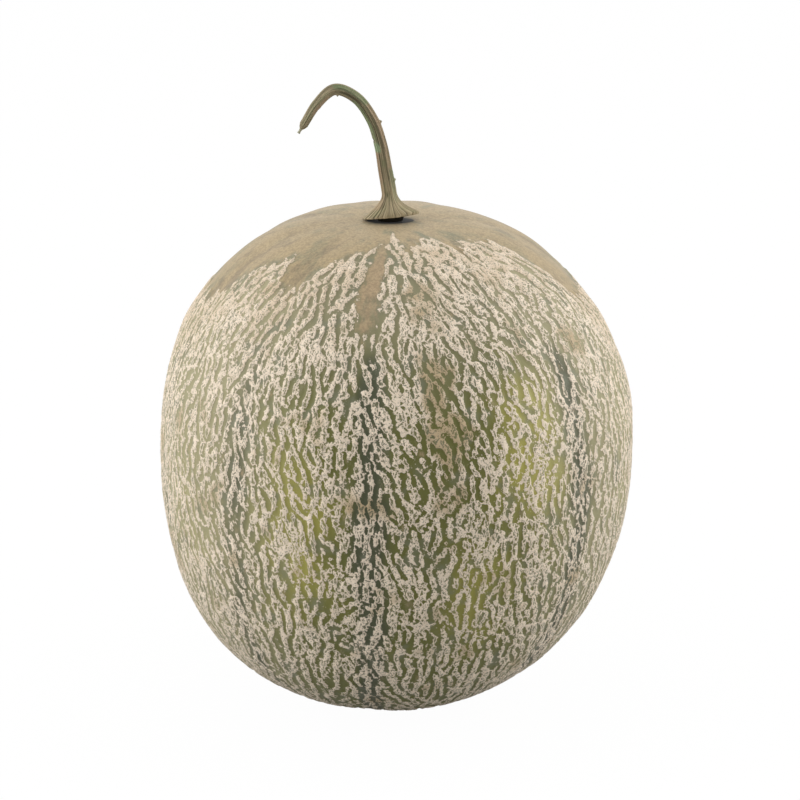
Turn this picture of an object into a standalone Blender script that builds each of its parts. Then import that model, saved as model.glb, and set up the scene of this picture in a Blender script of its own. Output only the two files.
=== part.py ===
"""Netted cantaloupe melon, whole, with its dried stem.

Metres, +Z up. The origin is the middle of the footprint, on the surface that the
melon rests on. The melon faces -Y, and its stem hooks over towards -X.
"""

import math
import random

import bmesh
import bpy
from mathutils import Matrix, Vector

# Fruit: a rounded body, a little taller than wide, that rests on a small flat spot
# and is a little dished where the stem stands
FRUIT_WIDTH = 0.151
TOP_RISE = 0.0754
WIDEST_HEIGHT = 0.0863
TOP_FULLNESS = 2.16
BOTTOM_FULLNESS = 2.37
FLAT_SPOT_RADIUS = 0.012
DISH_DEPTH = 0.0030
DISH_SPAN = math.radians(16)
BOW = 0.0017
BOW_HEIGHT = 0.095
BOW_SPAN = 0.110

# Sutures: faint grooves from the stem down, at these places round the fruit
SUTURES = [math.radians(angle) for angle in (-42, -6, 50, 100, 150, 205, 246, 282)]
SUTURE_DEPTH = 0.0009
SUTURE_HALF_WIDTH = math.radians(8)

# Net: long cells of bare skin between raised cork cords
CELLS = 670
CELL_STRETCH = 2.6
STEM_END_RINGS = ((0, 1), (math.radians(8), 7), (math.radians(16), 12))
SEED_TRIES = 10
CORD_HEIGHT = 0.0011
CORD_HALF_WIDTH = 0.0018
CORD_VARIATION = 0.3
CELL_SINK = 0.0005
LARGEST_INSET = 0.6

# Smooth cap round the stem, wider towards the back, where no net grows: how far its
# rim is from the stem, in degrees, at places round the fruit
CAP_RIM = (
    (-180, 55),
    (-150, 50),
    (-115, 57),
    (-80, 55),
    (-69, 46),
    (-55, 34),
    (-46, 44),
    (-40, 44),
    (-34, 36),
    (-20, 29),
    (-2, 25),
    (3, 20),
    (11, 26),
    (24, 24),
    (35, 19),
    (43, 32),
    (51, 27),
    (72, 32),
    (78, 54),
    (100, 58),
    (130, 50),
    (155, 57),
    (180, 55),
)
CAP_FADE = math.radians(4)
TONGUE_END = math.radians(50)
TONGUE_HALF_WIDTH = math.radians(3.5)
FLAT_SPOT_FADE = 0.005

# Stem: a fluted stalk that rises from a flared oval foot and hooks over
STEM_SPINE = [
    (0.0, 0.0, 0.0),
    (-0.0003, 0.0002, 0.0070),
    (-0.0016, 0.0004, 0.0150),
    (-0.0030, 0.0003, 0.0230),
    (-0.0055, -0.0003, 0.0310),
    (-0.0104, -0.0013, 0.0383),
    (-0.0172, -0.0026, 0.0415),
    (-0.0230, -0.0037, 0.0371),
    (-0.0273, -0.0045, 0.0297),
]
STALK_RADIUS = 0.0023
BEND_RADIUS = 0.00175
TIP_RADIUS = 0.0015
FIBRE_RADIUS = 0.0005
FIBRE_LENGTH = 0.0016
FOOT_RADIUS = 0.0084
FOOT_DEPTH_SHARE = 0.60
FLARE_HEIGHT = 0.0074
FLARE_POWER = 2.0
FLUTES = 12
SIDES_PER_FLUTE = 3
FOOT_FLUTE_DEPTH = 0.06
STALK_FLUTE_DEPTH = 0.09
STALK_RINGS = 38
HEEL_RADIUS = 0.0044
RIM_THICKNESS = 0.0007
RIM_RISE_RIGHT = 0.0008
RIM_RISE_FRONT = 0.0009
SEAT_GAP = 0.0003

SEED = 7

# Colours, as linear RGB
RIND_COLOUR = (0.37, 0.33, 0.21, 1.0)
STALK_COLOUR = (0.20, 0.17, 0.10, 1.0)


def clear_scene():
    for item in list(bpy.data.objects):
        bpy.data.objects.remove(item, do_unlink=True)


def material(name, colour, roughness):
    made = bpy.data.materials.new(name)
    made.use_nodes = True
    surface = made.node_tree.nodes["Principled BSDF"]
    surface.inputs["Base Color"].default_value = colour
    surface.inputs["Roughness"].default_value = roughness
    surface.inputs["Metallic"].default_value = 0.0
    return made


def fade(value, low, high):
    """0 below low, 1 above high, smooth between."""
    share = min(1.0, max(0.0, (value - low) / (high - low)))
    return share * share * (3 - 2 * share)


def turn_between(first, second):
    """The angle from one place round the fruit to another, from -pi to pi."""
    return (first - second + math.pi) % (2 * math.pi) - math.pi


def profile_share(radius, fullness):
    """The share of its full rise that the body's profile has at a radius."""
    return (1 - (2 * radius / FRUIT_WIDTH) ** fullness) ** (1 / fullness)


BOTTOM_RISE = WIDEST_HEIGHT / profile_share(FLAT_SPOT_RADIUS, BOTTOM_FULLNESS)


def suture_groove(polar, around):
    """Depth of the nearest suture: deepest on the shoulder, gone at both ends."""
    along = math.sin(polar) ** 0.5 * fade(polar, 0.1, 0.7)
    along *= 1 - 0.7 * fade(polar, 0.9, 2.4)
    across = sum(
        math.exp(-((turn_between(around, suture) / SUTURE_HALF_WIDTH) ** 2))
        for suture in SUTURES
    )
    return SUTURE_DEPTH * along * across


def skin_point(polar, around, proud=0.0):
    """A point of the fruit's skin. polar is 0 at the stem, around is 0 in front (-Y)."""
    level, height = math.sin(polar), math.cos(polar)
    rise, fullness = TOP_RISE, TOP_FULLNESS
    if height < 0:
        rise, fullness = BOTTOM_RISE, BOTTOM_FULLNESS
    reach = (
        (abs(level) * 2 / FRUIT_WIDTH) ** fullness + (abs(height) / rise) ** fullness
    ) ** (-1 / fullness)
    reach += proud - suture_groove(polar, around)
    reach -= DISH_DEPTH * math.exp(-((polar / DISH_SPAN) ** 2))
    z = WIDEST_HEIGHT + height * reach
    bow = BOW * (1 - math.cos(math.pi * (z - BOW_HEIGHT) / BOW_SPAN))
    return Vector(
        (
            level * reach * math.sin(around) - bow,
            -level * reach * math.cos(around),
            z,
        )
    )


def cap_rim(around):
    """The cap's rim at a place round the fruit, as a polar angle."""
    place = math.degrees(turn_between(around, 0.0))
    for (low, low_rim), (high, high_rim) in zip(CAP_RIM, CAP_RIM[1:]):
        if place <= high:
            share = (place - low) / (high - low)
            return math.radians(low_rim + (high_rim - low_rim) * share)
    return math.radians(CAP_RIM[-1][1])


def net_strength(polar, around):
    """0 where the skin is smooth, 1 where the net has grown in full."""
    rim = cap_rim(around)
    grown = fade(polar, rim, rim + CAP_FADE)
    front_suture = SUTURES[1]
    off_tongue = abs(turn_between(around, front_suture)) / TONGUE_HALF_WIDTH
    tongue = (1 - fade(off_tongue, 0.6, 1.2)) * (
        1 - fade(polar, TONGUE_END, TONGUE_END + CAP_FADE)
    )
    from_flat = math.sin(polar) * FRUIT_WIDTH / 2 - FLAT_SPOT_RADIUS
    clear_of_flat = 1.0 if polar < math.pi / 2 else fade(from_flat, 0.0, FLAT_SPOT_FADE)
    return grown * (1 - tongue) * clear_of_flat


def squeeze(polar, power):
    """Moves a polar angle so that lengths along the meridian change by the power."""
    return 2 * math.atan(math.tan(polar / 2) ** power)


def net_seeds(rng):
    """Seeds for the cells of the net, as (polar, around), spread as the cells are long.

    The first are even rings round the stem, so that the facets there follow the dish.
    """
    seeds = [
        (polar, 2 * math.pi * (place + 0.37) / count)
        for polar, count in STEM_END_RINGS
        for place in range(count)
    ]

    def clearance(candidate):
        polar, around = candidate
        nearest = math.inf
        for other_polar, other_around in seeds:
            along = (polar - other_polar) / CELL_STRETCH
            girth = math.sin((polar + other_polar) / 2)
            across = 2 * girth * math.sin((around - other_around) / 2)
            nearest = min(nearest, along * along + across * across)
        return nearest

    while len(seeds) < CELLS:
        tries = [
            (math.acos(rng.uniform(-1, 1)), rng.uniform(-math.pi, math.pi))
            for _ in range(SEED_TRIES)
        ]
        seeds.append(max(tries, key=clearance))
    return seeds


def direction(polar, around):
    return Vector(
        (
            math.sin(polar) * math.sin(around),
            -math.sin(polar) * math.cos(around),
            math.cos(polar),
        )
    )


def net_cells(seeds):
    """Each seed's cell, as its corners in order, and the corners as (polar, around).

    The cells are those nearest each seed, on a sphere whose meridians are first
    shortened, so that they come out long from stem to tip.
    """
    hull = bmesh.new()
    for polar, around in seeds:
        hull.verts.new(direction(squeeze(polar, 1 / CELL_STRETCH), around))
    hull.verts.index_update()
    bmesh.ops.convex_hull(hull, input=hull.verts)
    bmesh.ops.triangulate(hull, faces=hull.faces)
    bmesh.ops.recalc_face_normals(hull, faces=hull.faces)
    hull.verts.ensure_lookup_table()
    hull.faces.index_update()
    corners = []
    for face in hull.faces:
        normal = face.normal
        polar = math.acos(max(-1.0, min(1.0, normal.z)))
        corners.append((squeeze(polar, CELL_STRETCH), math.atan2(normal.x, -normal.y)))
    cells = []
    for seed in hull.verts:
        outward = seed.co.normalized()
        sideways = outward.orthogonal().normalized()
        upward = outward.cross(sideways)
        faces = []
        for face in seed.link_faces:
            towards = face.calc_center_median() - seed.co
            bearing = math.atan2(towards.dot(upward), towards.dot(sideways))
            faces.append((bearing, face.index))
        cells.append([index for bearing, index in sorted(faces)])
    hull.free()
    return cells, corners


def cell_inset(rim, middle):
    """How far in from its rim a cell's bare skin starts, as a share of the way."""
    inradius = min(
        ((a + b) / 2 - middle).length for a, b in zip(rim, rim[1:] + rim[:1])
    )
    return min(LARGEST_INSET, CORD_HALF_WIDTH / inradius)


def cut_base(shape):
    """Slices the shape level at height 0 and closes the cut with one flat face."""
    everything = shape.verts[:] + shape.edges[:] + shape.faces[:]
    cut = bmesh.ops.bisect_plane(
        shape,
        geom=everything,
        dist=1e-7,
        plane_co=(0, 0, 0),
        plane_no=(0, 0, 1),
        clear_inner=True,
    )
    edges = [item for item in cut["geom_cut"] if isinstance(item, bmesh.types.BMEdge)]
    bmesh.ops.edgeloop_fill(shape, edges=edges)


def make_fruit():
    rng = random.Random(SEED)
    seeds = net_seeds(rng)
    cells, corners = net_cells(seeds)
    shape = bmesh.new()
    rim_verts = []
    for polar, around in corners:
        height = CORD_HEIGHT * (1 + CORD_VARIATION * rng.uniform(-1, 1))
        proud = height * net_strength(polar, around)
        rim_verts.append(shape.verts.new(skin_point(polar, around, proud)))
    for (polar, around), cell in zip(seeds, cells):
        rim = [rim_verts[index] for index in cell]
        middle = skin_point(polar, around)
        if net_strength(polar, around) < 0.02:
            centre = shape.verts.new(middle)
            for a, b in zip(rim, rim[1:] + rim[:1]):
                shape.faces.new((a, b, centre))
            continue
        share = cell_inset([vert.co for vert in rim], middle)
        floor = []
        for index in cell:
            corner = direction(*corners[index])
            inner = corner.lerp(direction(polar, around), share).normalized()
            inner_polar = math.acos(inner.z)
            inner_around = math.atan2(inner.x, -inner.y)
            sunk = CELL_SINK * net_strength(inner_polar, inner_around)
            floor.append(shape.verts.new(skin_point(inner_polar, inner_around, -sunk)))
        count = len(cell)
        for here in range(count):
            after = (here + 1) % count
            shape.faces.new((rim[here], rim[after], floor[after], floor[here]))
        shape.faces.new(floor)
    bmesh.ops.triangulate(shape, faces=shape.faces)
    cut_base(shape)
    bmesh.ops.recalc_face_normals(shape, faces=shape.faces)
    return finished("fruit", shape, material("netted_rind", RIND_COLOUR, 0.8), 30)


def spine_point(share):
    """A point on the smooth curve through the stem's spine points, share from 0 to 1."""
    points = [Vector(point) for point in STEM_SPINE]
    points = [2 * points[0] - points[1], *points, 2 * points[-1] - points[-2]]
    place = min(share, 0.999999) * (len(STEM_SPINE) - 1)
    start = int(place)
    t = place - start
    a, b, c, d = points[start : start + 4]
    return 0.5 * (
        2 * b
        + (c - a) * t
        + (2 * a - 5 * b + 4 * c - d) * t * t
        + (3 * b - a - 3 * c + d) * t**3
    )


def stalk_radius(share):
    """Without the foot: slimmer over the bend and towards the tip."""
    plain = STALK_RADIUS + (BEND_RADIUS - STALK_RADIUS) * fade(share, 0.1, 0.7)
    return plain + (TIP_RADIUS - BEND_RADIUS) * fade(share, 0.7, 1.0)


def foot_flare(share, height):
    """1 at the foot's rim, falling to 0 where the flare meets the stalk."""
    if share > 0.5 or height > FLARE_HEIGHT:
        return 0.0
    return (1 - height / FLARE_HEIGHT) ** FLARE_POWER


def rim_lift(x, y):
    """How far the foot's rim has come up from the rind: most at the right and front."""
    right = x / FOOT_RADIUS
    front = -y / (FOOT_RADIUS * FOOT_DEPTH_SHARE)
    return RIM_RISE_RIGHT * (1 + right) + RIM_RISE_FRONT * fade(front, -0.2, 1.0)


def foot_ring(angles, radius, height, lift):
    """A ring of the foot, level where lift is 0 and along the raised rim where it is 1."""
    ring = []
    for angle in angles:
        flute = 1 + FOOT_FLUTE_DEPTH * lift * math.cos(FLUTES * angle)
        x = radius * flute * math.cos(angle)
        y = radius * flute * math.sin(angle) * FOOT_DEPTH_SHARE
        ring.append(Vector((x, y, height + lift * rim_lift(x, y))))
    return ring


def stem_rings():
    """Each ring of the stem, from under its foot to the fibre at its tip."""
    sides = FLUTES * SIDES_PER_FLUTE
    angles = [2 * math.pi * side / sides for side in range(sides)]
    rings = [
        foot_ring(angles, HEEL_RADIUS * 0.9, 0.0, 0.0),
        foot_ring(angles, HEEL_RADIUS, RIM_THICKNESS, 0.5),
        foot_ring(angles, FOOT_RADIUS * 0.96, 0.0, 1.0),
        foot_ring(angles, FOOT_RADIUS * 1.01, RIM_THICKNESS * 0.5, 1.0),
    ]
    for step in range(STALK_RINGS + 1):
        share = (step / STALK_RINGS) ** 1.3
        centre = spine_point(share)
        ahead = spine_point(min(1.0, share + 0.01)) - spine_point(max(0.0, share - 0.01))
        ahead.normalize()
        across = Vector((0, 1, 0)).cross(ahead).normalized()
        along = ahead.cross(across)
        flare = foot_flare(share, centre.z)
        radius = stalk_radius(share) + (FOOT_RADIUS - STALK_RADIUS) * flare
        oval = 1 + (FOOT_DEPTH_SHARE - 1) * flare
        footing = fade(FLARE_HEIGHT - centre.z, 0, FLARE_HEIGHT) if share < 0.5 else 0.0
        depth = STALK_FLUTE_DEPTH + (FOOT_FLUTE_DEPTH - STALK_FLUTE_DEPTH) * footing
        middle_rise = RIM_THICKNESS + rim_lift(0, 0)
        ring = []
        for angle in angles:
            flute = radius * (1 + depth * math.cos(FLUTES * angle))
            offset = across * (math.cos(angle) * flute)
            offset += along * (math.sin(angle) * flute * oval)
            tilt = (rim_lift(offset.x, offset.y) - rim_lift(0, 0)) * footing
            ring.append(centre + offset + Vector((0, 0, middle_rise + tilt)))
        rings.append(ring)

    centre += Vector((0, 0, middle_rise))
    for radius, reach in (
        (TIP_RADIUS * 0.85, TIP_RADIUS * 0.45),
        (TIP_RADIUS * 0.5, TIP_RADIUS * 0.75),
        (FIBRE_RADIUS, TIP_RADIUS * 0.85),
        (FIBRE_RADIUS * 0.8, TIP_RADIUS * 0.85 + FIBRE_LENGTH),
    ):
        ring = []
        for angle in angles:
            offset = (across * math.cos(angle) + along * math.sin(angle)) * radius
            ring.append(centre + ahead * reach + offset)
        rings.append(ring)
    return rings


def make_stem():
    shape = bmesh.new()
    rings = [[shape.verts.new(point) for point in ring] for ring in stem_rings()]
    for lower, upper in zip(rings, rings[1:]):
        count = len(lower)
        for here in range(count):
            after = (here + 1) % count
            shape.faces.new((lower[here], lower[after], upper[after], upper[here]))
    shape.faces.new(rings[0])
    shape.faces.new(rings[-1])
    bmesh.ops.recalc_face_normals(shape, faces=shape.faces)
    stem = finished("stem", shape, material("dry_stalk", STALK_COLOUR, 0.85), 60)
    top = skin_point(0.0, 0.0)
    stem.location = (top.x, top.y, top.z + SEAT_GAP)
    return stem


def finished(name, shape, finish, sharp_degrees):
    """Turns the shape into a named object in the scene, shaded smooth."""
    mesh = bpy.data.meshes.new(name)
    shape.to_mesh(mesh)
    shape.free()
    mesh.materials.append(finish)
    mesh.shade_smooth()
    mesh.set_sharp_from_angle(angle=math.radians(sharp_degrees))
    made = bpy.data.objects.new(name, mesh)
    bpy.context.scene.collection.objects.link(made)
    return made


def centre_on_origin(fruit, stem):
    """Moves both pieces so that the middle of the fruit's footprint box is the origin."""
    xs = [vert.co.x for vert in fruit.data.vertices]
    ys = [vert.co.y for vert in fruit.data.vertices]
    shift = Vector((-(min(xs) + max(xs)) / 2, -(min(ys) + max(ys)) / 2, 0))
    fruit.data.transform(Matrix.Translation(shift))
    stem.location += shift


clear_scene()
fruit = make_fruit()
stem = make_stem()
centre_on_origin(fruit, stem)
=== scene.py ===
import math

import bmesh
import bpy
import numpy as np
from mathutils import Matrix, Vector


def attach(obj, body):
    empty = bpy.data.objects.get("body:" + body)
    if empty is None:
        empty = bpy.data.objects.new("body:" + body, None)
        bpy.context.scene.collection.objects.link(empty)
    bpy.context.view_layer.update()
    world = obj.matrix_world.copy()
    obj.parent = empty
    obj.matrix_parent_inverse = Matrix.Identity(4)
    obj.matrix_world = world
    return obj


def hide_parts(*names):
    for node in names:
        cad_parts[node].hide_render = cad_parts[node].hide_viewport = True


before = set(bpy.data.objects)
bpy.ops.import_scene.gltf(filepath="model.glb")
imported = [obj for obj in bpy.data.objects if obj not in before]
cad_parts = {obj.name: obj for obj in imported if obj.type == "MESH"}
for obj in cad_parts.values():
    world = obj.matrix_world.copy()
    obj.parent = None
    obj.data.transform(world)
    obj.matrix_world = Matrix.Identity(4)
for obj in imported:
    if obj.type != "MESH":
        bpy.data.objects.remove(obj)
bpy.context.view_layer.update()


# THE FRUIT
# One grown body, a little taller than wide, with faint sutures from stem to base.
# Its skin is green to olive. Corky cords have grown on it as a raised net, and a
# smooth tan cap is left bare of net round the stem. It rests on a small flat spot.

FRUIT_WIDTH = 0.151
TOP_RISE = 0.0754
WIDEST_HEIGHT = 0.0863
TOP_FULLNESS = 2.16  # 2 gives an ellipse, and more a squarer profile
BOTTOM_FULLNESS = 2.37
FLAT_SPOT_RADIUS = 0.012
DISH_DEPTH = 0.0030  # the hollow that the stem stands in
DISH_SPAN = math.radians(16)
BOW = 0.0017  # the body leans a little to one side, most at its ends
BOW_HEIGHT = 0.095
BOW_SPAN = 0.110
SUTURES = [math.radians(angle) for angle in (-42, -6, 50, 100, 150, 205, 246, 282)]
SUTURE_DEPTH = 0.0009
SUTURE_HALF_WIDTH = math.radians(8)
SUTURE_STAINS = (0.65, 1.0, 0.85, 0.6, 0.8, 0.6, 0.8, 0.5)
STAIN_HALF_WIDTH = math.radians(5)
STEM_PLACE = (-0.00195, -0.00016, 0.15900)
STEM_SHADOW_DEPTH_SHARE = 0.45  # of its width: the black painted shadow under the stem's foot is an oval
# The cap's rim: place round the fruit and distance from the stem, both in degrees
CAP_RIM = (
    (-180, 55),
    (-150, 50),
    (-115, 57),
    (-80, 55),
    (-69, 46),
    (-55, 34),
    (-46, 44),
    (-40, 44),
    (-34, 36),
    (-20, 29),
    (-2, 23),
    (3, 16),
    (11, 25),
    (24, 24),
    (35, 19),
    (43, 32),
    (51, 27),
    (72, 32),
    (78, 54),
    (100, 58),
    (130, 50),
    (155, 57),
    (180, 55),
)
# The cap runs down the front suture in a tongue, tan with a grey strip beside it
TONGUE_END = math.radians(50)
TONGUE_HALF_WIDTH = math.radians(4.2)
GREY_STRIP_OFFSET = math.radians(5.5)
GREY_STRIP_HALF_WIDTH = math.radians(3)
# Fields of skin that have turned yellow, and of tan cork, in degrees: place round the
# fruit, distance from the stem, half the width and half the height, then a share
YELLOW_FIELDS = (
    (35, 77, 10, 21, 1.0),
    (-25, 93, 10, 26, 0.65),
    (20, 112, 10, 15, 0.6),
    (-62, 95, 12, 22, 0.6),
    (75, 90, 10, 24, 0.6),
    (125, 85, 14, 26, 0.9),
    (178, 95, 14, 24, 0.7),
    (226, 80, 12, 25, 0.9),
    (264, 100, 10, 22, 0.6),
)
TAN_FIELDS = (
    (12, 69, 7, 12, 0.40),
    (-16, 42, 5, 8, 0.12),
    (120, 60, 8, 12, 0.2),
    (215, 95, 7, 10, 0.2),
)

FRUIT_COLUMNS = 560
FRUIT_ROWS = 176
MILLIMETRES = 1000  # in a metre: the net is laid out in mm
SKIN_RADIUS = FRUIT_WIDTH / 2 * MILLIMETRES
NET_SEED = 5
CORD_SPACING = 3.3  # mm, from the middle of one cork cord to the next
SPACING_SPREAD = 0.20
CORD_PATCHES = 14000
PATCH_RADIUS = 4.2  # mm, over which one set of parallel cords fades out
PATCH_LEAN = 0.36  # radians, how far the patches lean apart at random
CORD_HEIGHT = 0.00045
LUMP_HEIGHT = 0.0012  # the skin's slow unevenness
FINE_SPREAD = 1.4  # mm, across one hill or hollow of the noise that the fine cords follow
FINE_STRETCH = 2.0  # how much longer than wide those are, from stem to base
FINE_CONTOURS = 18.0
CORD_EDGING = 0.05  # how far into a broad cord its solid edge reaches


def fade(value, low, high):
    """0 below low, 1 above high, smooth between."""
    share = np.clip((value - low) / (high - low), 0.0, 1.0)
    return share * share * (3 - 2 * share)


def turn_between(first, second):
    """The angle from one place round the fruit to another, from -pi to pi."""
    return (first - second + math.pi) % (2 * math.pi) - math.pi


def profile_share(radius, fullness):
    """The share of its full rise that the body's profile has at a radius."""
    return (1 - (2 * radius / FRUIT_WIDTH) ** fullness) ** (1 / fullness)


def along_sutures(around, half_width, strengths=(1,) * len(SUTURES)):
    """As strong as its strength along each suture, falling to 0 between them."""
    return sum(
        strength * np.exp(-((turn_between(around, suture) / half_width) ** 2))
        for strength, suture in zip(strengths, SUTURES)
    )


def bare_skin(polar, around):
    """The fruit's form without its net. polar is 0 at the stem, around is 0 in front."""
    level, height = np.sin(polar), np.cos(polar)
    bottom_rise = WIDEST_HEIGHT / profile_share(FLAT_SPOT_RADIUS, BOTTOM_FULLNESS)
    rise = np.where(height > 0, TOP_RISE, bottom_rise)
    full = np.where(height > 0, TOP_FULLNESS, BOTTOM_FULLNESS)
    reach = (
        (np.abs(level) * 2 / FRUIT_WIDTH) ** full + (np.abs(height) / rise) ** full
    ) ** (-1 / full)
    # The sutures are deepest on the shoulder, and faint under the stem and at the base
    groove = np.sqrt(level) * fade(polar, 0.1, 0.7) * (1 - 0.7 * fade(polar, 0.9, 2.4))
    reach = reach - SUTURE_DEPTH * groove * along_sutures(around, SUTURE_HALF_WIDTH)
    reach = reach - DISH_DEPTH * np.exp(-((polar / DISH_SPAN) ** 2))
    z = WIDEST_HEIGHT + height * reach
    bow = BOW * (1 - np.cos(math.pi * (z - BOW_HEIGHT) / BOW_SPAN))
    x = level * reach * np.sin(around) - bow
    y = -level * reach * np.cos(around)
    return np.stack([x, y, np.maximum(z, 0.0)], axis=-1)


def long_grain(polar, around):
    """Places for the fine net's noise, squeezed along the meridians so that it runs long."""
    squeezed = 2 * np.arctan(np.tan(polar / 2) ** (1 / FINE_STRETCH))
    return SKIN_RADIUS / FINE_SPREAD * np.stack(
        [
            np.sin(squeezed) * np.sin(around),
            -np.sin(squeezed) * np.cos(around),
            np.cos(squeezed),
        ],
        axis=-1,
    )


def past_cap(polar, around):
    """Millimetres from the smooth cap's rim: over 0 in the net, under 0 on the cap."""
    places, rims = zip(*CAP_RIM)
    rim = np.radians(np.interp(np.degrees(turn_between(around, 0.0)), places, rims))
    return (polar - rim) * SKIN_RADIUS


def on_tongue(polar, around, middle, half_width):
    """A strip down the front suture from the cap: 1 in its middle, 0 beside it."""
    middle = SUTURES[1] + middle - math.radians(3) * fade(polar, 0.4, 0.65)
    off = np.abs(turn_between(around, middle)) / half_width
    end = TONGUE_END - 0.06 * off
    started = fade(polar, 0.2, 0.45)
    ended = fade(polar, end - 0.2, end + 0.1)
    return np.clip(1.3 - off, 0, 1) * started * (1 - ended)


def fields(polar, around, table):
    """Soft spots on the fruit, each as strong as its share in the table says."""
    total = np.zeros(len(polar))
    for place, down, half_width, half_height, share in table:
        off = np.degrees(turn_between(around, math.radians(place))) / half_width
        total += share * np.exp(-(off**2) - ((np.degrees(polar) - down) / half_height) ** 2)
    return total


def net_bands(places, chance):
    """Cork cord and bare gap in turn, from 1 to -1, for a grid of places in mm.

    Small patches of parallel cords are laid over each other all over the fruit. They
    run from stem to base, and where two patches don't agree, the cords bend and fork.
    """
    laid = np.zeros(places.shape[:2], complex)
    patch_polar = np.arccos(chance.uniform(-1, 1, CORD_PATCHES))
    patch_around = chance.uniform(-math.pi, math.pi, CORD_PATCHES)
    centres = bare_skin(patch_polar, patch_around) * MILLIMETRES
    # The cords lean away from the front suture on the lower half, and sway everywhere
    front = turn_between(patch_around, SUTURES[1]) / math.radians(9)
    lean = -0.45 * front * np.exp(0.5 - front**2) * fade(patch_polar, 0.9, 1.3)
    lean += 0.22 * np.sin(3 * patch_around + 4 * patch_polar)
    lean += 0.18 * np.sin(7 * patch_around - 9 * patch_polar + 2)
    lean += chance.normal(0, PATCH_LEAN, CORD_PATCHES)
    spacing = CORD_SPACING * chance.lognormal(0, SPACING_SPREAD, CORD_PATCHES)
    phase = chance.uniform(0, 2 * math.pi, CORD_PATCHES)
    level = np.zeros(CORD_PATCHES)
    east = np.stack([np.cos(patch_around), np.sin(patch_around), level], axis=-1)
    south = np.stack(
        [
            np.cos(patch_polar) * np.sin(patch_around),
            -np.cos(patch_polar) * np.cos(patch_around),
            -np.sin(patch_polar),
        ],
        axis=-1,
    )
    across = np.cos(lean)[:, None] * east + np.sin(lean)[:, None] * south
    across *= (2 * math.pi / spacing)[:, None]
    # Each patch is added only to the rows and columns of the grid that it reaches
    row_reach = PATCH_RADIUS / SKIN_RADIUS / math.pi * FRUIT_ROWS
    column_reach = PATCH_RADIUS / SKIN_RADIUS / (2 * math.pi) * FRUIT_COLUMNS
    for patch in range(CORD_PATCHES):
        row = patch_polar[patch] / math.pi * FRUIT_ROWS - 0.5
        column = patch_around[patch] / (2 * math.pi) * FRUIT_COLUMNS
        rows = np.arange(max(0, int(row - row_reach)), min(FRUIT_ROWS, int(row + row_reach) + 2))
        half = min(column_reach / math.sin(patch_polar[patch]) + 1, FRUIT_COLUMNS / 2 - 1)
        columns = np.arange(int(column - half), int(column + half) + 1) % FRUIT_COLUMNS
        window = np.ix_(rows, columns)
        away = places[window] - centres[patch]
        strength = np.exp(-math.pi * (away * away).sum(axis=-1) / PATCH_RADIUS**2)
        laid[window] += strength * np.exp(1j * (away @ across[patch] + phase[patch]))
    size = np.abs(laid)
    return 2 * laid.real / (size + size.mean())


def store(mesh, name, values):
    """Keeps one number or one vector for each vertex, for the nodes to read."""
    vector = values.ndim == 2
    kept = mesh.attributes.new(name, "FLOAT_VECTOR" if vector else "FLOAT", "POINT")
    kept.data.foreach_set("vector" if vector else "value", values.ravel())


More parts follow.
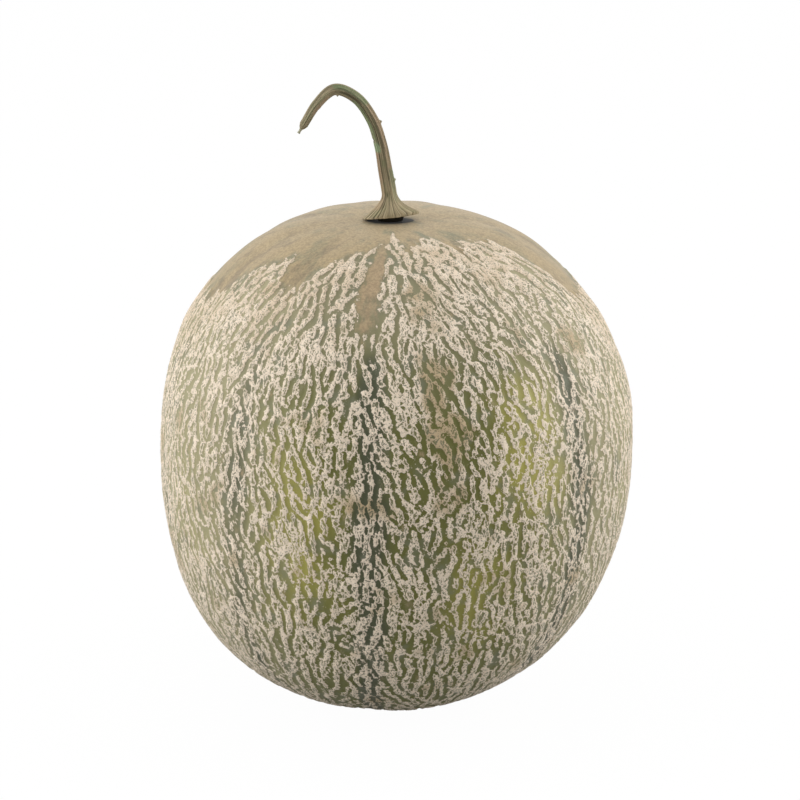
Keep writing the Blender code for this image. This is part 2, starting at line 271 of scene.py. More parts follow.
def make_fruit_mesh():
    """A grid of rows round the fruit, closed by one point at each pole."""
    rows = (np.arange(FRUIT_ROWS) + 0.5) / FRUIT_ROWS * math.pi
    columns = np.arange(FRUIT_COLUMNS) / FRUIT_COLUMNS * 2 * math.pi
    polar, around = (part.ravel() for part in np.meshgrid(rows, columns, indexing="ij"))
    grid = bare_skin(polar, around).reshape(FRUIT_ROWS, FRUIT_COLUMNS, 3) * MILLIMETRES
    bands = net_bands(grid, np.random.default_rng(NET_SEED))
    polar = np.concatenate([polar, [0.002, math.pi - 0.002]])
    around = np.concatenate([around, [0.0, 0.0]])
    places = bare_skin(polar, around)
    middle = (places.max(axis=0) + places.min(axis=0)) / 2
    places[:, :2] -= middle[:2]
    top, bottom = len(places) - 2, len(places) - 1
    faces = []
    for row in range(FRUIT_ROWS - 1):
        start = row * FRUIT_COLUMNS
        for column in range(FRUIT_COLUMNS):
            after = (column + 1) % FRUIT_COLUMNS
            below = start + FRUIT_COLUMNS
            faces.append((start + column, below + column, below + after, start + after))
    last = (FRUIT_ROWS - 1) * FRUIT_COLUMNS
    for column in range(FRUIT_COLUMNS):
        after = (column + 1) % FRUIT_COLUMNS
        faces.append((top, column, after))
        faces.append((bottom, last + after, last + column))
    mesh = bpy.data.meshes.new("melon")
    mesh.from_pydata(places.tolist(), [], faces)
    mesh.shade_smooth()
    # Places for the noises, in mm
    store(mesh, "skin_place", places * MILLIMETRES)
    store(mesh, "long_grain", long_grain(polar, around))
    # Where the net is, and where the smooth cap and its tongue are
    store(mesh, "net_bands", np.concatenate([bands.ravel(), [0.0, 0.0]]))
    store(mesh, "past_cap", past_cap(polar, around))
    store(mesh, "from_stem", polar)
    store(mesh, "tan_tongue", on_tongue(polar, around, 0.0, TONGUE_HALF_WIDTH))
    grey_strip = on_tongue(polar, around, GREY_STRIP_OFFSET, GREY_STRIP_HALF_WIDTH)
    store(mesh, "grey_strip", grey_strip)
    # Stains and fields of colour, painted shade along the sutures' furrows on the cap, and paler
    # sides
    stain = along_sutures(around, STAIN_HALF_WIDTH, SUTURE_STAINS)
    furrow_shade = along_sutures(around, SUTURE_HALF_WIDTH)
    store(mesh, "near_suture", stain * fade(polar, 0.7, 1.1))
    store(mesh, "furrow_shade", furrow_shade * fade(polar, 0.15, 0.45))
    store(mesh, "paler_sides", fade(np.abs(turn_between(around, math.radians(4))), 0.35, 1.05))
    store(mesh, "yellowing", fields(polar, around, YELLOW_FIELDS))
    store(mesh, "tan_cork", fields(polar, around, TAN_FIELDS))
    # Millimetres from the middle of the black painted shadow under the stem, and far off on the
    # lower half
    across = places[:, 0] - STEM_PLACE[0]
    deep = (places[:, 1] - STEM_PLACE[1]) / STEM_SHADOW_DEPTH_SHARE
    from_stem_shadow = np.hypot(across, deep) * MILLIMETRES
    store(mesh, "from_stem_shadow", np.where(places[:, 2] > 0.1, from_stem_shadow, 99.0))
    # The net doesn't rise on the flat spot, nor at the stem
    from_flat = np.sin(polar) * FRUIT_WIDTH / 2 - FLAT_SPOT_RADIUS
    off_flat = np.where(polar < math.pi / 2, 1.0, fade(from_flat, 0.0, 0.005))
    store(mesh, "room_to_rise", off_flat * fade(polar, 0.12, 0.45))
    return mesh


class Wiring:
    """Short calls that add nodes to one tree and join them up."""

    def __init__(self, tree):
        self.tree = tree

    def add(self, kind, settings=(), **inputs):
        """A node with its settings, and with a value or a link in each named socket."""
        node = self.tree.nodes.new(kind)
        for name, value in dict(settings).items():
            setattr(node, name, value)
        for name, value in inputs.items():
            self.feed(node.inputs[name], value)
        return node

    def feed(self, socket, value):
        """Links an output to a socket, or sets the socket to a value."""
        if isinstance(value, bpy.types.NodeSocket):
            self.tree.links.new(value, socket)
        else:
            socket.default_value = value

    def sum(self, operation, *values):
        """Arithmetic on numbers, by the Math node's operation of that name."""
        node = self.tree.nodes.new("ShaderNodeMath")
        node.operation = operation
        for socket, value in zip(node.inputs, values):
            self.feed(socket, value)
        return node.outputs[0]

    def vector(self, operation, *values, scale=None):
        """The same on places and directions, by the Vector Math node."""
        node = self.tree.nodes.new("ShaderNodeVectorMath")
        node.operation = operation
        for socket, value in zip(node.inputs, values):
            self.feed(socket, value)
        if scale is not None:
            self.feed(node.inputs["Scale"], scale)
        return node.outputs[0]

    def noise(self, place, size, detail=0.0, roughness=0.5, offset=(0, 0, 0)):
        """Noise from -0.5 to 0.5, its spots about size units across."""
        moved = self.vector("ADD", place, offset)
        node = self.add(
            "ShaderNodeTexNoise",
            Vector=moved,
            Scale=1.0 / size,
            Detail=detail,
            Roughness=roughness,
        )
        return self.sum("SUBTRACT", node.outputs[0], 0.5), node.outputs[1]

    def step(self, value, low, high):
        """0 below low and 1 above high, smooth between."""
        node = self.add(
            "ShaderNodeMapRange", {"interpolation_type": "SMOOTHSTEP"}, Value=value
        )
        node.inputs["From Min"].default_value = low
        node.inputs["From Max"].default_value = high
        return node.outputs[0]

    def blend(self, share, first, second):
        """A colour between two others."""
        node = self.tree.nodes.new("ShaderNodeMix")
        node.data_type = "RGBA"
        self.feed(node.inputs[0], share)
        self.feed(node.inputs[6], first)
        self.feed(node.inputs[7], second)
        return node.outputs[2]

    def stain(self, colour, mask, strength, tint):
        """A colour with another laid over it where the mask is 1, up to a strength."""
        return self.blend(self.sum("MULTIPLY", mask, strength), colour, tint)

    def number(self, name):
        """A number that the mesh keeps for each vertex, read in a material."""
        return self.add("ShaderNodeAttribute", {"attribute_name": name}).outputs["Fac"]

    def place(self, name):
        """A vector that the mesh keeps for each vertex, read in a material."""
        return self.add("ShaderNodeAttribute", {"attribute_name": name}).outputs["Vector"]


def cork_depth(wires, bands, grain, skin, rim, tongue):
    """How far into cork each spot is, over 0 in it, and how far into a broad cord.

    Each broad cord is edged by a line of cork, and fine cords wind about inside it,
    along the contours of a noise.
    """
    # Broad cords: frayed at their edges, wider in some places than in others, fuller
    # near the cap, and none on the cap or its tongue
    feathers, _ = wires.noise(skin, 1.4, detail=3.0, roughness=0.66, offset=(1, 8, 2))
    spread, _ = wires.noise(skin, 14.0, detail=1.0, offset=(60, 8, 2))
    near_cap = wires.sum("SUBTRACT", 1.0, wires.step(rim, 2.0, 26.0))
    on_cap = wires.sum("SUBTRACT", 1.0, wires.step(rim, -13.0, -6.0))
    broad = wires.sum("MULTIPLY_ADD", bands, 0.1, wires.sum("MULTIPLY", feathers, 0.38))
    broad = wires.sum("MULTIPLY_ADD", spread, 0.20, broad)
    broad = wires.sum("MULTIPLY_ADD", near_cap, 0.035, broad)
    broad = wires.sum("MULTIPLY_ADD", on_cap, -0.35, broad)
    broad = wires.sum("MULTIPLY_ADD", tongue, -0.30, broad)

    # Fine cords, broken up by specks
    _, wander = wires.noise(skin, 1.5, offset=(7, 3, 5))
    wander = wires.vector("SUBTRACT", wander, (0.5, 0.5, 0.5))
    wandering = wires.vector("ADD", grain, wires.vector("SCALE", wander, scale=0.6))
    hills, _ = wires.noise(wandering, 1.0, offset=(40, 2, 9))
    fine = wires.sum("SINE", wires.sum("MULTIPLY", hills, FINE_CONTOURS))
    specks, _ = wires.noise(skin, 0.68, detail=2.0, roughness=0.72, offset=(31, 8, 2))
    fine = wires.sum("MULTIPLY_ADD", fine, 0.11, wires.sum("MULTIPLY", specks, 0.46))
    fine = wires.sum("MULTIPLY_ADD", spread, 0.15, fine)
    fine = wires.sum("ADD", fine, 0.005)
    fine = wires.sum("MULTIPLY_ADD", near_cap, 0.11, fine)

    edging = wires.sum("SUBTRACT", CORD_EDGING, broad)
    depth = wires.sum("MINIMUM", broad, wires.sum("MAXIMUM", edging, fine))
    return depth, broad


def add_net_relief(piece):
    """Raises the cords out of the skin, with the same noise that colours them."""
    tree = bpy.data.node_groups.new("raise the net", "GeometryNodeTree")
    tree.interface.new_socket("Geometry", in_out="INPUT", socket_type="NodeSocketGeometry")
    tree.interface.new_socket("Geometry", in_out="OUTPUT", socket_type="NodeSocketGeometry")
    wires = Wiring(tree)
    start = tree.nodes.new("NodeGroupInput")
    end = tree.nodes.new("NodeGroupOutput")

    def read(name, kind):
        node = wires.add("GeometryNodeInputNamedAttribute", {"data_type": kind}, Name=name)
        return node.outputs[0]

    skin = read("skin_place", "FLOAT_VECTOR")
    _, broad = cork_depth(
        wires,
        read("net_bands", "FLOAT"),
        read("long_grain", "FLOAT_VECTOR"),
        skin,
        read("past_cap", "FLOAT"),
        read("tan_tongue", "FLOAT"),
    )
    raised = wires.step(broad, -0.08, 0.08)
    lumps, _ = wires.noise(skin, 18.0, detail=1.0)
    raised = wires.sum("MULTIPLY", raised, CORD_HEIGHT)
    raised = wires.sum("MULTIPLY_ADD", lumps, LUMP_HEIGHT, raised)
    raised = wires.sum("MULTIPLY", raised, read("room_to_rise", "FLOAT"))
    normal = wires.add("GeometryNodeInputNormal").outputs[0]
    outward = wires.vector("SCALE", normal, scale=raised)
    moved = wires.add("GeometryNodeSetPosition", Geometry=start.outputs[0], Offset=outward)
    tree.links.new(moved.outputs[0], end.inputs[0])
    raise_net = piece.modifiers.new("net", "NODES")
    raise_net.node_group = tree


SKIN_OLIVE = (0.120, 0.122, 0.024, 1)
SKIN_YELLOW = (0.37, 0.335, 0.065, 1)
SKIN_NEAR_CAP = (0.25, 0.225, 0.135, 1)
SKIN_PALER_SIDES = (0.38, 0.34, 0.20, 1)
SKIN_ALONG_SUTURE = (0.055, 0.062, 0.034, 1)
SKIN_AMONG_CORDS = (0.29, 0.265, 0.16, 1)
SKIN_GREY = (0.170, 0.175, 0.118, 1)
CORK_PALE = (0.84, 0.71, 0.565, 1)
CORK_TAN = (0.52, 0.395, 0.24, 1)
CORK_DULL = (0.64, 0.505, 0.355, 1)
CORK_PIT = (0.13, 0.135, 0.085, 1)
CAP_TAN = (0.425, 0.322, 0.178, 1)
CAP_SMUDGE = (0.285, 0.255, 0.150, 1)
CAP_RIM_GREEN = (0.205, 0.205, 0.125, 1)
CAP_BROWN = (0.235, 0.182, 0.108, 1)
GREY_STRIP = (0.180, 0.180, 0.120, 1)
TAN_TONGUE = (0.43, 0.315, 0.185, 1)
POWDER_SHADE = (0.72, 0.72, 0.70)
# Black painted shadow, for the rind under the stem's foot and for the stem's underside
PAINTED_SHADOW_BLACK = (0.020, 0.016, 0.010, 1)


def make_rind_material():
    made = bpy.data.materials.new("netted_rind")
    made.use_nodes = True
    wires = Wiring(made.node_tree)
    surface = made.node_tree.nodes["Principled BSDF"]

    # Where the cap ends and the net begins, with a ragged rim
    grain, skin = wires.place("long_grain"), wires.place("skin_place")
    ragged, _ = wires.noise(skin, 5.0, detail=3.0, offset=(4, 4, 9))
    frayed, _ = wires.noise(grain, 1.6, detail=3.0, roughness=0.6, offset=(4, 9, 4))
    rim = wires.sum("MULTIPLY_ADD", ragged, 16.0, wires.number("past_cap"))
    near_rim = wires.sum("SUBTRACT", 1.0, wires.step(rim, 0.0, 28.0))
    tongue = wires.sum("MULTIPLY_ADD", ragged, 1.2, wires.number("tan_tongue"))
    tongue = wires.sum("MULTIPLY_ADD", frayed, 1.6, tongue)
    tongue = wires.step(tongue, 0.2, 0.8)
    depth, broad = cork_depth(wires, wires.number("net_bands"), grain, skin, rim, tongue)
    cork = wires.step(depth, -0.02, 0.012)

    # Bare skin: olive between the sutures, yellow in places, tan towards the cap, paler towards
    # the sides away from the front, dark along the sutures, and greyer inside the broad cords
    sun, _ = wires.noise(skin, 16.0, detail=1.0, offset=(50, 0, 0))
    streaks, _ = wires.noise(grain, 5.0, detail=2.0)
    sunny = wires.sum("MULTIPLY_ADD", sun, 0.8, wires.number("yellowing"))
    bare = wires.blend(wires.step(sunny, 0.0, 1.0), SKIN_OLIVE, SKIN_YELLOW)
    near_cap = wires.sum("SUBTRACT", 1.0, wires.step(wires.number("from_stem"), 0.65, 1.25))
    bare = wires.stain(bare, near_cap, 0.75, SKIN_NEAR_CAP)
    bare = wires.stain(bare, wires.number("paler_sides"), 0.75, SKIN_PALER_SIDES)
    suture = wires.sum("MULTIPLY_ADD", streaks, 0.9, wires.number("near_suture"))
    bare = wires.stain(bare, wires.step(suture, 0.2, 0.9), 0.85, SKIN_ALONG_SUTURE)
    among = wires.sum("MULTIPLY_ADD", near_rim, 0.35, 0.35)
    bare = wires.stain(bare, wires.step(broad, 0.03, 0.10), among, SKIN_AMONG_CORDS)
    grey, _ = wires.noise(skin, 7.0, detail=3.0, offset=(0, 21, 0))
    bare = wires.stain(bare, wires.step(grey, 0.0, 0.2), 0.6, SKIN_GREY)

    # Cork: pale pinkish beige, tan in patches, with fine dark pits and loose flecks
    patch, _ = wires.noise(skin, 13.0, detail=2.0, offset=(0, 0, 33))
    patch = wires.sum("ADD", patch, wires.number("tan_cork"))
    cork_colour = wires.blend(wires.step(patch, 0.08, 0.26), CORK_PALE, CORK_TAN)
    tint, _ = wires.noise(skin, 4.0, detail=2.0, offset=(8, 0, 3))
    tint = wires.sum("MULTIPLY_ADD", near_rim, 0.45, tint)
    cork_colour = wires.stain(cork_colour, wires.step(tint, 0.0, 0.6), 0.8, CORK_DULL)
    grit, _ = wires.noise(skin, 0.50, detail=1.0, roughness=0.7)
    pits = wires.sum("MULTIPLY", wires.step(grit, 0.05, 0.12), wires.step(depth, 0.02, 0.06))
    cork_colour = wires.stain(cork_colour, pits, 0.85, CORK_PIT)
    flecks = wires.sum("MULTIPLY", wires.step(grit, 0.11, 0.17), wires.step(broad, -0.06, 0.0))
    covered = wires.sum("MAXIMUM", cork, wires.sum("MULTIPLY", flecks, 0.7))
    net = wires.blend(covered, bare, cork_colour)

    # Smooth cap: tan with a fine grain, grey-green in smudges and along its rim
    smudge, _ = wires.noise(grain, 8.0, detail=4.0, roughness=0.6, offset=(3, 0, 60))
    cap = wires.blend(wires.step(smudge, -0.02, 0.25), CAP_TAN, CAP_SMUDGE)
    rim_green = wires.sum("MULTIPLY", wires.step(rim, -16.0, -9.0), wires.step(smudge, -0.05, 0.1))
    cap = wires.stain(cap, rim_green, 0.75, CAP_RIM_GREEN)
    brown, _ = wires.noise(grain, 4.0, detail=4.0, roughness=0.65, offset=(70, 0, 6))
    # Painted shade: the brown deepens along the sutures' furrows
    brown = wires.sum("MULTIPLY_ADD", wires.number("furrow_shade"), 0.14, brown)
    cap = wires.stain(cap, wires.step(brown, 0.04, 0.24), 0.65, CAP_BROWN)
    grey_strip = wires.sum("MULTIPLY_ADD", ragged, 1.2, wires.number("grey_strip"))
    cap = wires.stain(cap, wires.step(grey_strip, 0.2, 0.8), 0.8, GREY_STRIP)
    cap = wires.stain(cap, tongue, wires.step(smudge, 0.2, -0.1), TAN_TONGUE)
    powder, _ = wires.noise(skin, 0.8, detail=3.0, roughness=0.7, offset=(9, 9, 9))
    shaded = wires.vector("MULTIPLY", cap, POWDER_SHADE)
    cap = wires.blend(wires.step(powder, -0.15, 0.15), cap, shaded)

    # The net over the cap, and over both a black painted shadow on the rind under the stem's
    # lifted foot
    on_net = wires.step(rim, -11.0, -1.0)
    on_net = wires.sum("MULTIPLY", on_net, wires.sum("SUBTRACT", 1.0, tongue))
    on_net = wires.sum("MAXIMUM", on_net, cork)
    colour = wires.blend(on_net, cap, net)
    from_stem_shadow = wires.sum("ADD", powder, wires.number("from_stem_shadow"))
    colour = wires.blend(wires.step(from_stem_shadow, 7.8, 7.2), colour, PAINTED_SHADOW_BLACK)
    wires.feed(surface.inputs["Base Color"], colour)

    surface.inputs["Roughness"].default_value = 0.6
    surface.inputs["Specular IOR Level"].default_value = 0.4
    surface.inputs["Sheen Weight"].default_value = 0.12
    surface.inputs["Sheen Roughness"].default_value = 0.5

    # The finest cords stand up by a bump, as they are too small for the mesh
    height = wires.sum("MULTIPLY", wires.step(depth, -0.04, 0.04), on_net)
    height = wires.sum("MULTIPLY_ADD", grit, 0.25, height)
    bump = wires.add("ShaderNodeBump", Height=height)
    bump.inputs["Distance"].default_value = 0.0003
    bump.inputs["Strength"].default_value = 0.7
    wires.feed(surface.inputs["Normal"], bump.outputs["Normal"])
    return made


melon = bpy.data.objects.new("melon", make_fruit_mesh())
bpy.context.scene.collection.objects.link(melon)
melon.data.materials.append(make_rind_material())
add_net_relief(melon)
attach(melon, "root")
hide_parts("fruit")


# THE STEM
# The dried stalk that the melon hung from: fibrous and ridged, hooked over, with a
# fluted foot that flares onto the fruit. Bark has peeled from it in strips, green
# under it, and the foot's rim has come up off the rind at the front and right.

STEM_SPINE = [
    (0.0, 0.0, 0.0),
    (-0.0003, 0.0002, 0.0070),
    (-0.0016, 0.0004, 0.0150),
    (-0.0030, 0.0003, 0.0230),
    (-0.0055, -0.0003, 0.0310),
    (-0.0104, -0.0013, 0.0383),
    (-0.0172, -0.0026, 0.0415),
    (-0.0228, -0.0037, 0.0371),
    (-0.0269, -0.0045, 0.0307),
]
STALK_RADIUS = 0.0023
BEND_RADIUS = 0.00175
TIP_RADIUS = 0.0013
FIBRE_RADIUS = 0.0005  # the nub of torn fibre that hangs from the tip
FIBRE_LENGTH = 0.0016
FOOT_RADIUS = 0.0084
FOOT_DEPTH_SHARE = 0.60  # of its width: the foot is an oval
FLARE_HEIGHT = 0.0074
FLARE_POWER = 2.0
HEEL_RADIUS = 0.0044  # the core under the foot, which still stands on the fruit
RIM_THICKNESS = 0.0007
RIM_RISE_RIGHT = 0.0009
RIM_RISE_FRONT = 0.0011
STEM_SIDES = 240
STEM_RINGS = 240
RING_CROWDING = 1.25  # over 1 sets the rings closer together at the foot
FOOT_FLUTES = 28
FLUTE_HEIGHT = 0.05  # of the foot's radius
RIB_HEIGHT = 0.055  # of the stalk's radius
# Scraps of bark that stand off the stalk, and the notch in it: how far along it each
# is, at which angle round it, its height and its width
SCRAPS = (
    (0.478, 6, 0.36, 0.006),
    (0.190, 8, 0.22, 0.006),
    (0.735, 215, 0.40, 0.010),
    (0.880, 215, 0.22, 0.020),
    (0.402, 196, -0.30, 0.006),
)
SCRAP_SPREAD = 0.35  # radians, half a scrap's reach round the stalk
# Strips along the stalk: from and to which angle round it, from and to how far along
# it, the degrees over which its sides fade, and how strong it is
GREEN_STRIPS = (
    (188, 248, 0.40, 0.64, 8, 1.0),
    (285, 338, 0.58, 0.76, 8, 1.0),
    (255, 300, 0.79, 0.97, 20, 0.35),
    (300, 350, 0.08, 0.25, 20, 0.6),
    (20, 70, 0.30, 0.70, 20, 0.6),
    (120, 160, 0.15, 0.55, 20, 0.5),
)
PEELED_PATCH = ((178, 262, 0.345, 0.395, 5, 1.0),)
BROWN_STRIPS = (
    (175, 240, 0.04, 0.345, 12, 1.0),
    (290, 350, 0.25, 0.58, 12, 0.8),
    (195, 250, 0.80, 0.93, 12, 1.0),
)
# Dark lines of painted shade in the stalk's grooves and in its notch, given like the strips above
SHADED_GROOVES = (
    (236, 246, 0.10, 0.34, 6, 1.0),
    (250, 264, 0.38, 0.72, 6, 1.0),
    (283, 292, 0.20, 0.78, 6, 1.0),
    (255, 290, 0.60, 0.70, 8, 0.8),
    (180, 215, 0.395, 0.410, 6, 1.0),
)
STRIP_END = 0.01  # of the stalk's length, over which a strip's ends fade
UNDERSIDE_RINGS = 4
RIM_RINGS = 2
NUB_START = 1.06  # places along the stem run from 0 to 1, and past 1 at its tip


def stem_spine(share):
    """Points of a smooth curve through the stem's spine points, share from 0 to 1."""
    points = np.array(STEM_SPINE)
    points = np.vstack([2 * points[0] - points[1], points, 2 * points[-1] - points[-2]])
    place = np.clip(share, 0.0, 0.999999) * (len(STEM_SPINE) - 1)
    start = place.astype(int)
    t = (place - start)[:, None]
    a, b, c, d = (points[start + step] for step in range(4))
    return 0.5 * (
        2 * b
        + (c - a) * t
        + (2 * a - 5 * b + 4 * c - d) * t * t
        + (3 * b - a - 3 * c + d) * t**3
    )


def rim_lift(x, y):
    """How far the foot's rim has come up from the rind: most at the right and front."""
    front = fade(-y / (FOOT_RADIUS * FOOT_DEPTH_SHARE), -0.2, 1.0)
    return RIM_RISE_RIGHT * (1 + x / FOOT_RADIUS) + RIM_RISE_FRONT * front


def unit(vectors):
    return vectors / np.linalg.norm(vectors, axis=-1, keepdims=True)


def foot_flutes(turn):
    """1 on the rounded ridges of the foot, falling to -1 in the narrow grooves between."""
    uneven = 0.7 * np.sin(3 * turn) + 0.5 * np.sin(7 * turn + 2)
    return 2 * np.abs(np.sin(FOOT_FLUTES / 2 * turn + uneven)) ** 0.5 - 1


def stalk_ridges(turn, share, foot):
    """The stalk's ribs and scraps as a share of its radius, and the foot's flutes."""
    ribs = np.cos(7 * turn + 1.5 + 2.5 * share) + 0.6 * np.cos(11 * turn - 3 * share)
    ridges = FLUTE_HEIGHT * foot_flutes(turn) * foot + RIB_HEIGHT * ribs * (1 - foot)
    for along, angle, height, width in SCRAPS:
        off = turn_between(turn, math.radians(angle)) / SCRAP_SPREAD
        ridges = ridges + height * np.exp(-((share - along) / width) ** 2 - off**2)
    return ridges


def stem_rings():
    """Rings of points round the stem, each ring's place along it, and the angles round it."""
    turn = np.arange(STEM_SIDES) / STEM_SIDES * 2 * math.pi
    circle = np.stack([np.cos(turn), np.sin(turn)], axis=-1)
    rows, places = [], []

    def foot_row(radius, height, lift, flute):
        ridge = 1 + flute * foot_flutes(turn)
        ragged = 1 + 0.02 * lift * np.sin(5 * turn + 1) + 0.015 * lift * np.sin(13 * turn)
        x, y = (circle * (radius * ridge * ragged)[:, None]).T
        y = y * FOOT_DEPTH_SHARE
        rows.append(np.stack([x, y, height + lift * rim_lift(x, y)], axis=-1))
        places.append(-0.05)

    # From the core under the foot, along the rim's underside, and round its edge
    foot_row(HEEL_RADIUS * 0.9, 0.0, 0.0, 0.0)
    foot_row(HEEL_RADIUS, RIM_THICKNESS, 0.5, 0.0)
    foot_row(FOOT_RADIUS * 0.80, RIM_THICKNESS * 0.4, 1.0, 0.0)
    foot_row(FOOT_RADIUS * 0.95, 0.0, 1.0, 0.02)
    foot_row(FOOT_RADIUS * 1.00, RIM_THICKNESS * 0.15, 1.0, 0.04)
    foot_row(FOOT_RADIUS * 1.015, RIM_THICKNESS * 0.55, 1.0, 0.04)

    # The stalk: rings square to the spine, flared over the foot and tilted with its rim
    share = (np.arange(STEM_RINGS) / (STEM_RINGS - 1)) ** RING_CROWDING
    centres = stem_spine(share)
    ahead = unit(stem_spine(np.minimum(1, share + 0.01)) - stem_spine(share - 0.01))
    ahead[0] = ahead[1]
    across = unit(np.cross((0, 1, 0), ahead))
    along = np.cross(ahead, across)
    plain = STALK_RADIUS + (BEND_RADIUS - STALK_RADIUS) * fade(share, 0.1, 0.7)
    plain += (TIP_RADIUS - BEND_RADIUS) * fade(share, 0.7, 1.0)
    height = np.where(share < 0.5, centres[:, 2], FLARE_HEIGHT)
    flare = np.clip(1 - height / FLARE_HEIGHT, 0, 1) ** FLARE_POWER
    radii = plain + (FOOT_RADIUS - STALK_RADIUS) * flare
    oval = np.array([[1.0, 1.0]]) + np.outer(flare, (0.0, FOOT_DEPTH_SHARE - 1))
    footing = np.where(share < 0.5, fade(FLARE_HEIGHT - height, 0, FLARE_HEIGHT), 0.0)
    middle_rise = RIM_THICKNESS + rim_lift(0, 0)
    for ring in range(STEM_RINGS):
        foot = 0
        if share[ring] < 0.5:
            foot = fade(FLARE_HEIGHT * 1.3 - height[ring], 0, FLARE_HEIGHT)
        radius = radii[ring] * (1 + stalk_ridges(turn, share[ring], foot))
        flat = circle * oval[ring] * radius[:, None]
        offset = across[ring] * flat[:, :1] + along[ring] * flat[:, 1:]
        tilt = (rim_lift(offset[:, 0], offset[:, 1]) - rim_lift(0, 0)) * footing[ring]
        row = centres[ring] + offset
        row[:, 2] += middle_rise + tilt
        rows.append(row)
        places.append(share[ring])

    # The tip: it narrows to a short nub of fibre
    end = centres[-1] + (0, 0, middle_rise)
    for radius, reach in (
        (TIP_RADIUS * 0.90, TIP_RADIUS * 0.4),
        (TIP_RADIUS * 0.72, TIP_RADIUS * 0.8),
        (TIP_RADIUS * 0.50, TIP_RADIUS * 1.1),
        (FIBRE_RADIUS, TIP_RADIUS * 1.2),
        (FIBRE_RADIUS * 0.8, TIP_RADIUS * 1.2 + FIBRE_LENGTH * 0.5),
        (FIBRE_RADIUS, TIP_RADIUS * 1.2 + FIBRE_LENGTH),
    ):
        offset = (across[-1] * circle[:, :1] + along[-1] * circle[:, 1:]) * radius
        rows.append(end + ahead[-1] * reach + offset)
        places.append(1.0 + reach / TIP_RADIUS * 0.05)
    return np.array(rows), np.array(places), turn


def strips(angle, share, table):
    """Masks over parts of the stem's girth and of its length, from 0 to 1."""
    total = np.zeros(len(share))
    for first, last, low, high, soft, strength in table:
        middle, half = (first + last) / 2, (last - first) / 2
        off = np.abs(np.degrees(turn_between(angle, math.radians(middle))))
        girth = 1 - fade(off, half - soft, half + soft)
        started = fade(share, low - STRIP_END, low + STRIP_END)
        ended = fade(share, high - STRIP_END, high + STRIP_END)
        total += strength * girth * started * (1 - ended)
    return np.clip(total, 0, 1)


def make_stem_mesh():
    """Rings of points joined by faces, and closed at the core and at the nub."""
    rows, places, turn = stem_rings()
    ring_count = len(rows)
    points = rows.reshape(-1, 3)
    faces = []
    for ring in range(ring_count - 1):
        start = ring * STEM_SIDES
        for side in range(STEM_SIDES):
            after = (side + 1) % STEM_SIDES
            above = start + STEM_SIDES
            faces.append((start + side, start + after, above + after, above + side))
    faces.append(tuple(range(STEM_SIDES))[::-1])
    last = (ring_count - 1) * STEM_SIDES
    faces.append(tuple(last + side for side in range(STEM_SIDES)))
    mesh = bpy.data.meshes.new("stalk")
    mesh.from_pydata(points.tolist(), [], faces)
    mesh.shade_smooth()
    share, angle = (part.ravel() for part in np.meshgrid(places, turn, indexing="ij"))
    store(mesh, "stem_place", np.stack([np.cos(angle), np.sin(angle), share], axis=-1))
    store(mesh, "green_strip", strips(angle, share, GREEN_STRIPS))
    store(mesh, "peeled_patch", strips(angle, share, PEELED_PATCH))
    store(mesh, "brown_strip", strips(angle, share, BROWN_STRIPS))
    store(mesh, "groove", strips(angle, share, SHADED_GROOVES))
    store(mesh, "flutes", foot_flutes(angle) * (1 - fade(share, 0.10, 0.22)))
    store(mesh, "nub", fade(share, NUB_START - 0.005, NUB_START + 0.005))
    ring = np.repeat(np.arange(ring_count), STEM_SIDES)
    on_rim = (ring >= UNDERSIDE_RINGS) & (ring < UNDERSIDE_RINGS + RIM_RINGS)
    store(mesh, "rim_edge", np.where(on_rim, 1.0, 0.0))
    store(mesh, "underside", np.where(ring < UNDERSIDE_RINGS, 1.0, 0.0))
    return mesh


BARK_DARK = (0.150, 0.125, 0.070, 1)
BARK_LIGHT = (0.405, 0.33, 0.205, 1)
BARK_OLIVE = (0.195, 0.20, 0.10, 1)
BARK_BROWN = (0.38, 0.26, 0.165, 1)
GREEN_UNDER_BARK = (0.185, 0.235, 0.115, 1)
PEELED_GREEN = (0.27, 0.34, 0.19, 1)
FLUTE_TAN = (0.47, 0.38, 0.23, 1)
PAINTED_GROOVE_SHADE = (0.058, 0.054, 0.025, 1)
PAINTED_RIM_HIGHLIGHT = (0.50, 0.42, 0.28, 1)
NUB_PALE = (0.45, 0.44, 0.31, 1)


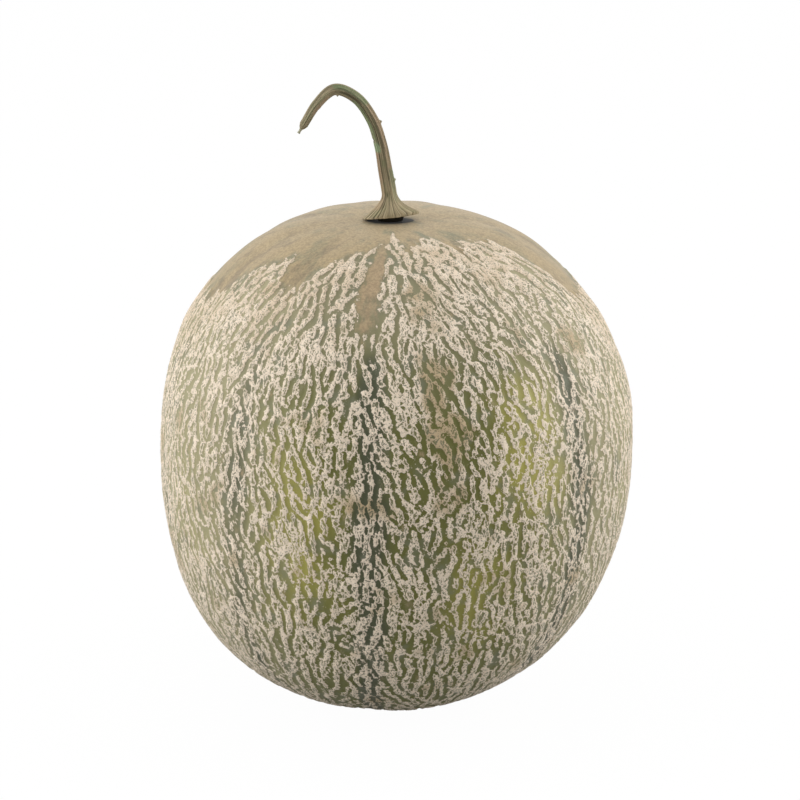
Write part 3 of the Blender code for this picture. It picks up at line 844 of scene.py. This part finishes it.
def make_stem_material():
    made = bpy.data.materials.new("dry_stalk")
    made.use_nodes = True
    wires = Wiring(made.node_tree)
    surface = made.node_tree.nodes["Principled BSDF"]

    # Bark in long fibres, with olive blotches, and thin splits that are darkened further on as
    # painted shade
    place = wires.place("stem_place")
    lengthwise = wires.vector("MULTIPLY", place, (7.0, 7.0, 4.0))
    fibres, _ = wires.noise(lengthwise, 1.0, detail=2.0, roughness=0.6)
    in_bands = wires.vector("MULTIPLY", place, (1.2, 1.2, 12.0))
    blotch, _ = wires.noise(in_bands, 1.0, detail=2.0, offset=(5, 5, 5))
    splits, _ = wires.noise(wires.vector("MULTIPLY", place, (6.0, 6.0, 3.0)), 1.0, detail=1.0)
    splits = wires.sum("SUBTRACT", 1.0, wires.step(wires.sum("ABSOLUTE", splits), 0.005, 0.035))
    colour = wires.blend(wires.step(fibres, -0.14, 0.14), BARK_DARK, BARK_LIGHT)
    colour = wires.stain(colour, wires.step(blotch, 0.0, 0.16), 0.7, BARK_OLIVE)

    # Strips where it has browned, or peeled down to the green
    colour = wires.stain(colour, wires.number("brown_strip"), 0.6, BARK_BROWN)
    streaky = wires.step(fibres, 0.22, -0.05)
    colour = wires.stain(colour, wires.number("green_strip"), streaky, GREEN_UNDER_BARK)
    colour = wires.blend(wires.number("peeled_patch"), colour, PEELED_GREEN)

    # Tan on the foot's flutes and painted shade in the flutes' grooves, the stalk's grooves and
    # the splits, then a painted highlight on the rim's edge, a black painted shadow on the
    # underside, and the nub
    flutes = wires.number("flutes")
    colour = wires.stain(colour, wires.step(flutes, 0.1, 0.9), 0.5, FLUTE_TAN)
    grooves = wires.sum("MULTIPLY", wires.number("groove"), 0.8)
    grooves = wires.sum("MAXIMUM", grooves, wires.step(flutes, -0.1, -0.8))
    grooves = wires.sum("MAXIMUM", grooves, wires.sum("MULTIPLY", splits, 0.8))
    colour = wires.stain(colour, grooves, 0.92, PAINTED_GROOVE_SHADE)
    # Painted highlight along the edge of the foot's rim
    colour = wires.stain(colour, wires.number("rim_edge"), 0.4, PAINTED_RIM_HIGHLIGHT)
    # Painted shadow: the foot's underside and the core under it are black
    colour = wires.blend(wires.number("underside"), colour, PAINTED_SHADOW_BLACK)
    colour = wires.blend(wires.number("nub"), colour, NUB_PALE)
    wires.feed(surface.inputs["Base Color"], colour)
    surface.inputs["Roughness"].default_value = 0.7
    surface.inputs["Specular IOR Level"].default_value = 0.3
    bump = wires.add("ShaderNodeBump", Height=fibres)
    bump.inputs["Distance"].default_value = 0.0003
    bump.inputs["Strength"].default_value = 0.8
    wires.feed(surface.inputs["Normal"], bump.outputs["Normal"])
    return made


stalk = bpy.data.objects.new("stalk", make_stem_mesh())
bpy.context.scene.collection.objects.link(stalk)
stalk.data.materials.append(make_stem_material())
stalk.data.transform(Matrix.Translation(STEM_PLACE))
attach(stalk, "root")
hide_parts("stem")


# THE STUDIO
# A matt white floor that the melon stands on, in an even white surround. Two large
# softboxes light it from the sides and a faint one from above.

FLOOR_SIZE = 6.0
FLOOR_GREY = (0.46, 0.46, 0.45, 1)
FLOOR_GLOW = 0.96  # how much of the floor is plain white to the camera
WHITE = 1.02
FRONT_LIGHT = 0.59  # the surround's light from in front, and what it gains behind
BACK_GAIN = 0.53
SOFTBOX_SIZE = 0.8
SOFTBOX_AIM = Vector((0, 0, 0.09))
CAMERA_DISTANCE = 1.2
CAMERA_ELEVATION = math.radians(20)
CAMERA_AIM = Vector((0.0011, 0.0, 0.0985))


def stage_material():
    """Matt and grey to the light that falls on it, and nearly white to the camera."""
    made = bpy.data.materials.new("white_sweep")
    made.use_nodes = True
    wires = Wiring(made.node_tree)
    surface = made.node_tree.nodes["Principled BSDF"]
    surface.inputs["Base Color"].default_value = FLOOR_GREY
    surface.inputs["Roughness"].default_value = 0.9
    surface.inputs["Specular IOR Level"].default_value = 0.1
    glow = wires.add("ShaderNodeEmission", Strength=WHITE)
    seen = wires.add("ShaderNodeLightPath").outputs["Is Camera Ray"]
    mix = wires.add("ShaderNodeMixShader")
    wires.feed(mix.inputs[0], wires.sum("MULTIPLY", seen, FLOOR_GLOW))
    wires.feed(mix.inputs[1], surface.outputs[0])
    wires.feed(mix.inputs[2], glow.outputs[0])
    wires.feed(made.node_tree.nodes["Material Output"].inputs[0], mix.outputs[0])
    return made


floor_shape = bmesh.new()
bmesh.ops.create_grid(floor_shape, x_segments=1, y_segments=1, size=FLOOR_SIZE)
floor_mesh = bpy.data.meshes.new("floor")
floor_shape.to_mesh(floor_mesh)
floor_shape.free()
floor = bpy.data.objects.new("floor", floor_mesh)
bpy.context.scene.collection.objects.link(floor)
floor.data.materials.append(stage_material())

world = bpy.data.worlds.new("white_surround")
bpy.context.scene.world = world
world.use_nodes = True
wires = Wiring(world.node_tree)
sky = world.node_tree.nodes["Background"]
sky.inputs["Color"].default_value = (1.0, 1.0, 1.0, 1)
facing = wires.add("ShaderNodeTexCoord").outputs["Generated"]
facing = wires.add("ShaderNodeSeparateXYZ", Vector=facing).outputs["Y"]
towards_back = wires.step(facing, -0.9, 0.7)
sky_light = wires.sum("MULTIPLY_ADD", towards_back, BACK_GAIN, FRONT_LIGHT)
wires.feed(sky.inputs["Strength"], sky_light)
white = wires.add("ShaderNodeBackground", Strength=WHITE)
seen = wires.add("ShaderNodeLightPath").outputs["Is Camera Ray"]
mix = wires.add("ShaderNodeMixShader")
wires.feed(mix.inputs[0], seen)
wires.feed(mix.inputs[1], sky.outputs[0])
wires.feed(mix.inputs[2], white.outputs[0])
wires.feed(world.node_tree.nodes["World Output"].inputs[0], mix.outputs[0])


def point_at(item, target):
    """Turns a lamp or the camera towards a point."""
    item.rotation_euler = (target - item.location).to_track_quat("-Z", "Y").to_euler()


def add_softbox(name, place, power):
    lamp = bpy.data.lights.new(name, "AREA")
    lamp.shape = "SQUARE"
    lamp.size = SOFTBOX_SIZE
    lamp.energy = power
    holder = bpy.data.objects.new(name, lamp)
    holder.location = place
    point_at(holder, SOFTBOX_AIM)
    bpy.context.scene.collection.objects.link(holder)


add_softbox("left_softbox", (-0.95, -0.15, 0.40), 5.8)
add_softbox("right_softbox", (0.95, 0.10, 0.42), 5.4)
add_softbox("top_softbox", (-0.1, -0.2, 1.1), 0.7)

lens = bpy.data.cameras.new("camera")
lens.lens = 168.3
lens.sensor_width = 36.0
lens.clip_start = 0.05
camera = bpy.data.objects.new("camera", lens)
camera.location = CAMERA_AIM + CAMERA_DISTANCE * Vector(
    (0, -math.cos(CAMERA_ELEVATION), math.sin(CAMERA_ELEVATION))
)
point_at(camera, CAMERA_AIM)
bpy.context.scene.collection.objects.link(camera)
bpy.context.scene.camera = camera
bpy.context.scene.view_settings.view_transform = "Standard"
